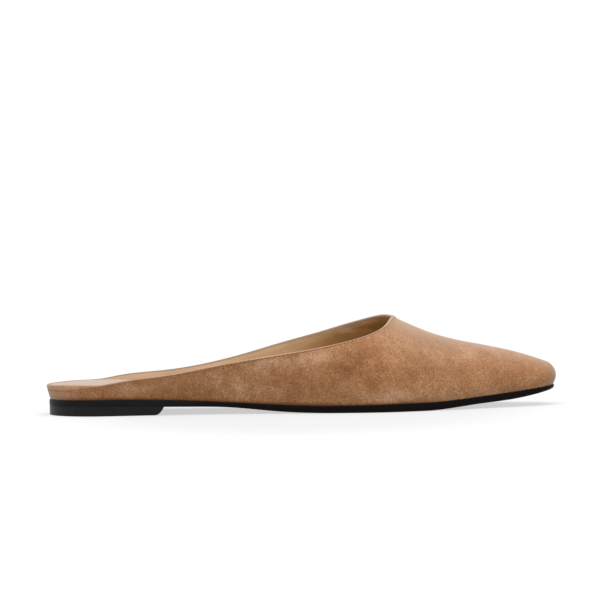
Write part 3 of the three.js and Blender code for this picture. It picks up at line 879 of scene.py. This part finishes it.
def table_material(colours):
    """Opal acrylic, lit from below, its glow dimmed in an oval under the shoe as a painted shadow: white
    with only faint, soft shadows.
    """
    material, tree, shader, at = own_material("Opal acrylic light table")
    haze = add(tree, "ShaderNodeTexNoise", None, {"Vector": at, "Scale": blobs(40), "Detail": 2.0})
    dull = add(tree, "ShaderNodeMapRange", None, {"Value": (haze, "Fac"), "To Min": 0.9, "To Max": 1.0})
    # The painted shadow's dimmer oval reaches 170 mm along the shoe and 260 mm across it, from its middle
    oval = add(tree, "ShaderNodeMapping", None, {
        "Vector": at, "Scale": Vector((1 / 0.17, 1 / 0.26, 0))})
    far = add(tree, "ShaderNodeVectorMath", {"operation": "LENGTH"}, {"Vector": (oval, "Vector")})
    glow_with_painted_shadow = add(tree, "ShaderNodeMapRange", SMOOTH, {
        "Value": (far, "Value"), "From Min": 0.42, "From Max": 1.0, "To Min": 0.58, "To Max": 0.74})
    plug_in(tree, shader, {
        "Base Color": rgba(colours.floor),
        "Roughness": (dull, "Result"),
        "Specular IOR Level": 0.0,
        "Emission Color": (1, 1, 1, 1),
        "Emission Strength": (glow_with_painted_shadow, "Result"),
    })
    return material


def join_rings(rings, closed):
    """Faces between rings, as (ring, place) corners. A closed tube's last ring joins its first."""
    faces = []
    count = len(rings[0])
    for r in range(len(rings) - (0 if closed else 1)):
        above = (r + 1) % len(rings)
        for i in range(count):
            step = i + 1
            faces.append(((r, i), (above, i), (above, step), (r, step)))
    return faces


def across_pairs(count, cut_front):
    """Which points of a ring face each other across the shoe."""
    return [(i, count - 1 - i if cut_front else (count - i) % count) for i in range(count // 2 + 1)]


def close_ring(ring, pairs, first):
    """Faces straight across a ring, between its pairs of points."""
    faces = []
    for (a, b), (c, d) in zip(pairs, pairs[1:]):
        corners = list(dict.fromkeys((a, c, d, b)))
        if len(corners) > 2:
            faces.append(tuple((ring, corner) for corner in (corners if first else reversed(corners))))
    return faces


def capped(rings, cut_front=False):
    """Faces between rings and straight across the first and the last."""
    pairs = across_pairs(len(rings[0]), cut_front)
    return join_rings(rings, False) + close_ring(0, pairs, True) + close_ring(len(rings) - 1, pairs, False)


def new_object(name, points, faces, material):
    """A smooth object in the scene, of points in metres."""
    mesh = bpy.data.meshes.new(name)
    mesh.from_pydata(points, [], faces)
    mesh.polygons.foreach_set("use_smooth", [True] * len(mesh.polygons))
    mesh.materials.append(material)
    made = bpy.data.objects.new(name, mesh)
    bpy.context.scene.collection.objects.link(made)
    return made


def skin(name, rings, faces, material, seam=None, shades=None):
    """A smooth object of rings of points in the last's millimetres. seam gives each corner's place along
    and off the seam, with one more column than the rings have points. shades are named point values."""
    count = len(rings[0])
    points = (np.concatenate(rings) + ZERO) * MM
    corners = [[r * count + i % count for r, i in face] for face in faces]
    piece = new_object(name, points.tolist(), corners, material)
    if seam is not None:
        layer = piece.data.uv_layers.new(name="seam")
        layer.data.foreach_set("uv", [value for face in faces for r, i in face for value in seam[r][i]])
    for shade, values in (shades or {}).items():
        layer = piece.data.attributes.new(shade, "FLOAT", "POINT")
        layer.data.foreach_set("value", np.concatenate(values))
    body = bmesh.new()
    body.from_mesh(piece.data)
    if body.calc_volume(signed=True) < 0:
        bmesh.ops.reverse_faces(body, faces=body.faces[:])
    body.to_mesh(piece.data)
    body.free()
    return piece


class Upper:
    """The upper's shared surfaces: its outer face up to the edge, the normals and the stitch line."""

    def __init__(self, sizes):
        rows = last_face()
        lift, tone = brushed(rows, STROKES)
        height = sizes.hand_waves / MM
        waves = hand_waves(rows, LONG_WAVES, height) + hand_waves(rows, SHORT_WAVES, height * 0.4)
        held = np.clip((rows[..., 2] - sole_top(rows[..., 0])) / 4, 0, 1)
        rows = rows + row_normals(rows) * ((lift + waves) * held)[..., None]
        self.skived = sizes.skived / MM
        self.drop = seam_drop(rows[-1, :, 0], sizes.stitch_drop / MM)
        self.plain, self.below = set_to_edge(rows, self.drop)
        self.plain[..., 2] += stretched(self.plain[..., 0], self.below)
        self.off_seam = self.below - self.drop
        self.normals = row_normals(self.plain)
        x = self.plain[..., 0].copy()
        self.work_edge(x, sizes)
        self.tone = self.tones(x, tone)
        ring = self.ring_below(self.face, self.drop)
        self.run, self.stitches = stitch_line(ring, sizes.stitch_pitch / MM)
        self.pitch = np.linalg.norm(np.roll(ring, -1, 0) - ring, axis=1).sum() / self.stitches

    def work_edge(self, x, sizes):
        """Lifts the stiff lip, rolls the edge in beside the heel and presses in the seam."""
        lip = sizes.edge_lip / MM * close_to(x, THROAT, 7) * close_to(self.below, 0, 1.8)
        rolled = part_way(x, 26, 14) * part_way(x, 1, 7) * part_way(self.below, 3, 0) ** 2
        self.plain = self.plain + self.normals * (lip - sizes.heel_roll / MM * rolled)[..., None]
        drawn = DRAWN_FORWARD * close_to(x, THROAT - 6, 4.5) * close_to(self.below, 0, 3)
        self.plain[..., 0] += drawn * (LOOP_SIDE == OUTER)
        beside = SEAM_RIDGE * close_to(np.abs(self.off_seam), 0.45, 0.2)
        groove = sizes.seam_depth / MM * close_to(self.off_seam, 0, 0.22)
        self.face = self.plain + self.normals * (beside - groove)[..., None]

    def tones(self, x, tone):
        """The strokes' tones, with a painted highlight on the low ridge below the seam toward the throat
        and painted shade along the foot just over the sole.
        """
        rows = [tone[round(r / WALL_ROWS * FINE_ROWS)] for r in range(WALL_ROWS)]
        rows += [tone[-1]] * (len(self.plain) - WALL_ROWS)
        # A painted highlight on the low ridge just below the seam, toward the throat
        pulled = close_to(self.off_seam, 0.5, 0.25) * part_way(x, 130, 165)
        over_sole = np.clip(self.plain[..., 2] - sole_top(x), 0, None)
        # Painted shade along the foot of the upper just over the sole, none toward the toe
        painted_foot_shade = 2.2 + 1.2 * part_way(x, 60, 30) + 2.4 * close_to(x, 124, 20)
        painted_foot_shade = painted_foot_shade * part_way(x, 198, 178)
        return np.array(rows) + 1.1 * pulled - painted_foot_shade * close_to(over_sole, 0, 1.1)

    def ring_below(self, rows, drop):
        """The ring that lies a distance below the edge, between the two rows next to it."""
        drop = np.broadcast_to(drop, LOOP_COUNT)
        ring = np.empty((LOOP_COUNT, 3))
        for i in range(LOOP_COUNT):
            for axis in range(3):
                ring[i, axis] = np.interp(-drop[i], -self.below[:, i], rows[:, i, axis])
        return ring

    def inside(self, depth):
        """The surface that far inside the outer face, laid flat at its foot and skived toward the edge."""
        out = self.normals.copy()
        out[0, :, 2] = 0
        out[0] = unit(out[0])
        skived = self.skived * close_to(self.below, 0, 1.5)
        return self.plain - out * (depth - skived)[..., None]


def inward(ring):
    """Flat directions into a loop."""
    along = np.roll(ring, -1, 0) - np.roll(ring, 1, 0)
    return unit(np.stack((along[:, 1], -along[:, 0], np.zeros(len(ring))), 1))


def moved_in(ring, inset, height):
    """A ring moved in by an inset, a number or a function of x, and laid at a height, a function of x."""
    by = inset(ring[:, 0]) if callable(inset) else inset
    moved = ring + inward(ring) * np.reshape(by, (-1, 1))
    moved[:, 2] = height(moved[:, 0])
    return moved


def build_upper(sizes, colours):
    """The suede shell: outer face, folded edge, and its own inner face behind the lining."""
    cut = Upper(sizes)
    top = cut.face[-1]
    facing = cut.normals[-1]
    climb = unit(cut.plain[-1] - cut.plain[-3])
    thick = WALL - cut.skived
    middle = top - facing * thick / 2
    bend = np.arange(1, RIM_STEPS) / RIM_STEPS * math.pi
    rim = [middle + facing * thick / 2 * math.cos(a) + climb * FOLD_ROUND * math.sin(a) for a in bend]
    edge = len(cut.face) - 1
    folded = cut.inside(WALL)
    behind = cut.inside(SUEDE_BACK)
    fold = [folded[row] for row in range(edge, edge - FOLD_ROWS, -1)]
    back = [behind[row] for row in range(edge - FOLD_ROWS, 0, -4)]
    foot = cut.face[0]
    turned_in = [moved_in(foot, inset, lambda x, up=up: sole_top(x) + up) for inset, up in FOOT_TURN]
    tucked, under, last = turned_in
    rings = [under, tucked, *cut.face, *rim, *fold, *back, last]
    hidden = len(fold) + len(back) + 1
    flat = np.ones(LOOP_COUNT)
    off_seam = [flat * FAR_BELOW_SEAM] * 2 + list(cut.off_seam)
    off_seam += [-cut.drop - thick * turn / math.pi for turn in bend]
    off_seam += [flat * FAR_INSIDE] * hidden
    seam = [np.stack((cut.run, np.append(ring, ring[0])), 1).tolist() for ring in off_seam]
    tones = [cut.tone[0]] * 2 + list(cut.tone) + [cut.tone[-1]] * (len(rim) + hidden)
    turned = [flat * 0] * (2 + len(cut.face))
    turned += [flat * part_way(turn / math.pi, 0.2, 0.45) for turn in bend]
    turned += [flat] * hidden
    shades = {"brushed": tones, "turned": turned}
    piece = skin("upper_suede", rings, join_rings(rings, True), suede_material(colours, cut), seam, shades)
    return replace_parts(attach(piece, "root"), "upper")


def build_lining(sizes, colours):
    """The lining inside the suede, its cut edge a little below the fold."""
    cut = Upper(sizes)
    drop = sizes.lining_top / MM
    behind = cut.inside(LINING_BACK)
    before = cut.inside(LINING_FRONT)
    wrinkle = brushed(before, LINING_STROKES)[0]
    before = before - cut.normals * wrinkle[..., None]
    rows = range(0, WALL_ROWS, 2)
    rings = [behind[row] for row in rows]
    rings += [cut.ring_below(behind, drop + 0.1), cut.ring_below(cut.inside(WALL), drop - 0.08)]
    rings += [cut.ring_below(before, drop + 0.1), cut.ring_below(before, drop + 0.9)]
    rings += [before[row] for row in reversed(rows)]
    depths = [drop + 3] * len(rows) + [drop + 0.1, drop - 0.08, drop + 0.1, drop + 0.9]
    depths += [cut.below[row] for row in reversed(rows)]
    worn = []
    for ring, depth in zip(rings, depths):
        # Painted shade that deepens toward the throat, with painted light and shade on the wrinkles
        painted_shading = 0.15 * part_way(ring[:, 0], 55, 100) + 0.85 * part_way(ring[:, 0], 122, 174)
        painted_shading = painted_shading - brushed(ring[None], LINING_STROKES)[1][0]
        # A painted highlight on the lining about 2.5 mm below its edge
        worn.append(painted_shading - 0.22 * close_to(depth, 2.5, 1.8) * part_way(painted_shading, 0.1, 0.3))
    flat = np.ones(LOOP_COUNT)
    cut_edge = [flat * 0] * len(rows) + [flat] * 3 + [flat * 0] * (len(rows) + 1)
    shades = {"brushed": worn, "turned": cut_edge}
    piece = skin("upper_lining", rings, join_rings(rings, True), lining_material(colours), None, shades)
    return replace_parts(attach(piece, "root"), "upper")


def thread_row(name, ring, normals, run, count, radius, material):
    """Stitches along a closed ring: each comes up out of its hole, lies along the seam and goes down."""
    corners = 6
    bends = 7
    hole = 0.07
    lift = 1.7
    sunk = 0.9
    turns = 2 * math.pi * np.arange(corners)[:, None] / corners
    share = np.linspace(0, 1, bends)
    places = np.append(run[:-1], count)
    path = np.concatenate((ring, ring[:1]))
    facing = np.concatenate((normals, normals[:1]))
    points = []
    faces = []
    for stitch in range(count):
        at = stitch + hole + (1 - 2 * hole) * share
        centre = np.stack([np.interp(at, places, path[:, axis]) for axis in range(3)], 1)
        up = unit(np.stack([np.interp(at, places, facing[:, axis]) for axis in range(3)], 1))
        centre += up * (radius * (lift * np.sin(math.pi * share) ** 0.6 - sunk))[:, None]
        ahead = unit(np.gradient(centre, axis=0))
        beside = unit(np.cross(ahead, up))
        over = np.cross(beside, ahead)
        start = len(points)
        for bend in range(bends):
            ring_out = beside[bend] * np.cos(turns) + over[bend] * np.sin(turns)
            points.extend(centre[bend] + radius * ring_out)
        for bend in range(bends - 1):
            for corner in range(corners):
                here = start + bend * corners
                step = (corner + 1) % corners
                faces.append((here + corner, here + step, here + corners + step, here + corners + corner))
        faces.append(tuple(start + corner for corner in reversed(range(corners))))
        faces.append(tuple(start + (bends - 1) * corners + corner for corner in range(corners)))
    row = new_object(name, ((np.array(points) + ZERO) * MM).tolist(), faces, material)
    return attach(row, "root")


def build_stitches(sizes, colours):
    """One row of stitches round the opening, next to the folded edge."""
    cut = Upper(sizes)
    radius = sizes.thread / MM / 2
    material = thread_material(colours)
    normals = unit(cut.ring_below(cut.normals, cut.drop))
    outside = cut.ring_below(cut.face, cut.drop)
    thread_row("stitches", outside, normals, cut.run, cut.stitches, radius, material)


def build_insole(sizes, colours):
    """The cushioned sock, pressed into the lining, rounded along its edge and slightly crowned."""
    wall = Upper(sizes).inside(LINING_FRONT - PRESSED_IN)

    def touching(height):
        """Where the upper's inside reaches a height over the outsole."""
        ring = np.empty((LOOP_COUNT, 3))
        for i in range(LOOP_COUNT):
            z = sole_top(wall[0, i, 0]) + height(wall[0, i, 0])
            row = 1
            while row < len(wall) - 1 and wall[row, i, 2] < z:
                row += 1
            low, high = wall[row - 1, i], wall[row, i]
            ring[i] = low + (high - low) * np.clip((z - low[2]) / (high[2] - low[2]), 0, 1)
        return ring

    round_off = sizes.insole_round / MM
    crown = sizes.insole_crown / MM
    top = touching(insole_top)
    halfway = touching(lambda x: insole_top(x) * 0.5)
    rings = [
        moved_in(touching(lambda x: 0.2), 0.1, lambda x: sole_top(x) + 0.1),
        moved_in(halfway, 0.0, lambda x: sole_top(x) + insole_top(x) * 0.5),
    ]
    for a in np.linspace(0, math.pi / 2, 6):
        lower = round_off * 0.6 * (1 - math.sin(a))
        inset = round_off * (1 - math.cos(a))
        rings.append(moved_in(top, inset, lambda x: sole_top(x) + insole_top(x) - lower))
    rim = rings[-1]
    spine = rim.copy()
    mirror = (LOOP_COUNT - np.arange(LOOP_COUNT)) % LOOP_COUNT
    spine[:, :2] = (rim[:, :2] + rim[mirror, :2]) / 2
    swell = crown * part_way(np.linalg.norm(spine - rim, axis=1), 0, 20) ** 2
    for share in (0.12, 0.28, 0.5, 0.75):
        ring = rim + (spine - rim) * share
        ring[:, 2] = sole_top(ring[:, 0]) + insole_top(ring[:, 0]) + swell * (1 - (1 - share) ** 2)
        rings.append(ring)
    piece = skin("insole_sock", rings, capped(rings), insole_material(colours))
    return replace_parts(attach(piece, "root"), "insole")


def build_outsole(sizes, colours):
    """The outsole with its burnished edge, rounded above and bevelled below."""
    flat = outline(0)

    def fade(x):
        """How much of the bevel is left, since the heel block takes it away."""
        return np.clip((x - HEEL_BREAST + 2) / 8, 0.12, 1)

    def bottom(x):
        return underside(x) + ARCH_SCOOP * close_to(x, ARCH_MIDDLE, 19)

    def bevel(x):
        return fade(x) * (EDGE_BEVEL + (TOE_BEVEL - EDGE_BEVEL) * np.clip(LAST["spring"](x), 0, 1))

    rings = [moved_in(flat, 2.6, sole_top), moved_in(flat, 0.8, sole_top)]
    for a in np.linspace(0, math.pi / 2, 5):
        rings.append(moved_in(flat, EDGE_ROUND * (1 - math.sin(a)),
                              lambda x: sole_top(x) - EDGE_ROUND * (1 - math.cos(a))))
    for share in (0.3, 0.7):
        def level(x):
            low = bottom(x) + EDGE_BEVEL * fade(x)
            return low + (sole_top(x) - EDGE_ROUND - low) * (1 - share)
        rings.append(moved_in(flat, -EDGE_BELLY, level))
    for a in np.linspace(0, math.pi / 2, 6):
        rings.append(moved_in(flat, lambda x: bevel(x) * (1 - math.cos(a)),
                              lambda x: bottom(x) + EDGE_BEVEL * fade(x) * (1 - math.sin(a))))
    rings.append(moved_in(flat, lambda x: bevel(x) + 1.2, bottom))
    piece = skin("outsole_leather", rings, capped(rings), sole_material(colours))
    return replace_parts(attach(piece, "root"), "outsole")


def build_heel(sizes, colours):
    """The heel block, following the sole's outline from its slanted, rounded front face round the back."""
    behind = stations(0)
    at = np.concatenate((np.linspace(HEEL_BREAST, HEEL_ROUND, 24)[:-1], behind[behind <= HEEL_ROUND]))
    x = np.concatenate((at, at[-2::-1]))
    side = np.array([OUTER] * len(at) + [INNER] * (len(at) - 1))
    corner = sizes.breast_round / MM
    overlap = 0.04
    rings = []
    for share in (0, 0.04, 0.11, 0.21, 0.34, 0.5, 0.75, 1):
        height = (underside(HEEL_BREAST) + overlap) * share
        back = corner - math.sqrt(max(0.0, corner**2 - max(0.0, corner - height) ** 2))
        shift = (BREAST_SLANT * (1 - share) + back) * (x / HEEL_BREAST) ** 6
        y = ridge(x - shift) + side * reach(side, x - shift, 0)
        rings.append(np.stack((x - shift, y, (underside(x) + overlap) * share), 1))
    piece = skin("heel_block", rings, capped(rings, True), heel_material(colours))
    rounding = piece.modifiers.new("Rounding", "BEVEL")
    rounding.width = sizes.heel_round
    rounding.segments = 4
    rounding.limit_method = "ANGLE"
    rounding.angle_limit = math.radians(40)
    rounding.harden_normals = True
    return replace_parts(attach(piece, "root"), "heel")


# The camera stands where the photo was taken from: level with the shoe's side, a little above it
CAMERA_TARGET = (127.35, 0.0, 55.1)
CAMERA_DISTANCE = 2000.0
CAMERA_TURN = 2.0
CAMERA_TILT = 2.25
CAMERA_ROLL = 1.05
CAMERA_SCALE = 1.9795
PHOTO_WIDTH = 600
SENSOR_WIDTH = 36.0


def build_camera():
    """The photo's own angle to the shoe, at the photo's scale."""
    turn = math.radians(CAMERA_TURN)
    tilt = math.radians(CAMERA_TILT)
    roll = math.radians(CAMERA_ROLL)
    ahead = Vector((math.sin(turn) * math.cos(tilt), math.cos(turn) * math.cos(tilt), -math.sin(tilt)))
    right = ahead.cross(Vector((0, 0, 1))).normalized()
    up = right.cross(ahead)
    across = right * math.cos(roll) - up * math.sin(roll)
    upward = up * math.cos(roll) + right * math.sin(roll)
    lens = bpy.data.cameras.new("camera")
    lens.sensor_width = SENSOR_WIDTH
    lens.lens = CAMERA_SCALE * CAMERA_DISTANCE / PHOTO_WIDTH * SENSOR_WIDTH
    lens.clip_start = 0.05
    lens.clip_end = 100
    camera = bpy.data.objects.new("camera", lens)
    target = (Vector(CAMERA_TARGET) + Vector(ZERO)) * MM
    turned = Matrix((across, upward, -ahead)).transposed().to_4x4()
    camera.matrix_world = Matrix.Translation(target - ahead * CAMERA_DISTANCE * MM) @ turned
    bpy.context.scene.collection.objects.link(camera)
    bpy.context.scene.camera = camera


def build_floor(colours):
    """A round light table, its top a tenth of a millimetre under the shoe."""
    radius = 0.62
    sides = 96
    height = -0.1 * MM
    points = [(0, 0, height)]
    for a in np.arange(sides) * 2 * math.pi / sides:
        points.append((radius * math.cos(a), radius * math.sin(a), height))
    faces = [(0, i + 1, (i + 1) % sides + 1) for i in range(sides)]
    new_object("floor", points, faces, table_material(colours))


def build_light():
    """White walls all round and a large softbox overhead."""
    world = bpy.data.worlds.new("White studio")
    world.use_nodes = True
    world.node_tree.nodes["Background"].inputs["Color"].default_value = (1, 1, 1, 1)
    world.node_tree.nodes["Background"].inputs["Strength"].default_value = 1.01
    scene = bpy.context.scene
    scene.world = world
    scene.view_settings.view_transform = "Standard"
    lamp = bpy.data.lights.new("softbox_overhead", "AREA")
    lamp.shape = "RECTANGLE"
    lamp.size = 1.1
    lamp.size_y = 0.8
    lamp.energy = 22.0
    softbox = bpy.data.objects.new("softbox_overhead", lamp)
    softbox.location = (0.05, -0.15, 1.3)
    softbox.rotation_euler = (-softbox.location).to_track_quat("-Z", "Y").to_euler()
    scene.collection.objects.link(softbox)


def sizes_and_colours(context):
    return context.scene.mule_sizes, context.scene.mule_colours


class BuildsPiece:
    """What the pieces' operators share: each runs its build function with the scene's sizes and colours."""

    def execute(self, context):
        self.build(*sizes_and_colours(context))
        return {"FINISHED"}


class MULE_OT_stage(bpy.types.Operator):
    """Puts up the camera, the light table and the light"""

    bl_idname = "mule.stage"
    bl_label = "Stage"

    def execute(self, context):
        build_camera()
        build_floor(context.scene.mule_colours)
        build_light()
        return {"FINISHED"}


class MULE_OT_upper(BuildsPiece, bpy.types.Operator):
    """Builds the suede upper with its folded edge"""

    bl_idname = "mule.upper"
    bl_label = "Suede upper"
    build = staticmethod(build_upper)


class MULE_OT_lining(BuildsPiece, bpy.types.Operator):
    """Builds the leather lining inside the upper"""

    bl_idname = "mule.lining"
    bl_label = "Lining"
    build = staticmethod(build_lining)


class MULE_OT_stitches(BuildsPiece, bpy.types.Operator):
    """Sews the row of stitches round the opening"""

    bl_idname = "mule.stitches"
    bl_label = "Stitches"
    build = staticmethod(build_stitches)


class MULE_OT_insole(BuildsPiece, bpy.types.Operator):
    """Builds the cushioned leather sock"""

    bl_idname = "mule.insole"
    bl_label = "Insole"
    build = staticmethod(build_insole)


class MULE_OT_outsole(BuildsPiece, bpy.types.Operator):
    """Builds the black outsole"""

    bl_idname = "mule.outsole"
    bl_label = "Outsole"
    build = staticmethod(build_outsole)


class MULE_OT_heel(BuildsPiece, bpy.types.Operator):
    """Builds the black heel block"""

    bl_idname = "mule.heel"
    bl_label = "Heel"
    build = staticmethod(build_heel)


OPERATORS = (
    MULE_OT_stage,
    MULE_OT_upper,
    MULE_OT_lining,
    MULE_OT_stitches,
    MULE_OT_insole,
    MULE_OT_outsole,
    MULE_OT_heel,
)


class MULE_PT_shoe(bpy.types.Panel):
    """The shoe's pieces, sizes and colours"""

    bl_idname = "MULE_PT_shoe"
    bl_label = "Mule shoe"
    bl_space_type = "VIEW_3D"
    bl_region_type = "UI"
    bl_category = "Mule shoe"

    def draw(self, context):
        for operator in OPERATORS:
            self.layout.operator(operator.bl_idname)
        for group in sizes_and_colours(context):
            box = self.layout.box()
            for name in group.bl_rna.properties.keys():
                if name not in ("rna_type", "name"):
                    box.prop(group, name)


CLASSES = (MuleSizes, MuleColours, *OPERATORS, MULE_PT_shoe)


def register():
    for made in CLASSES:
        bpy.utils.register_class(made)
    bpy.types.Scene.mule_sizes = PointerProperty(type=MuleSizes)
    bpy.types.Scene.mule_colours = PointerProperty(type=MuleColours)


def unregister():
    del bpy.types.Scene.mule_colours
    del bpy.types.Scene.mule_sizes
    for made in reversed(CLASSES):
        bpy.utils.unregister_class(made)


def main():
    register()
    bpy.ops.mule.stage()
    bpy.ops.mule.upper()
    bpy.ops.mule.lining()
    bpy.ops.mule.stitches()
    bpy.ops.mule.insole()
    bpy.ops.mule.outsole()
    bpy.ops.mule.heel()
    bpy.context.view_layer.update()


if __name__ == "__main__":
    main()
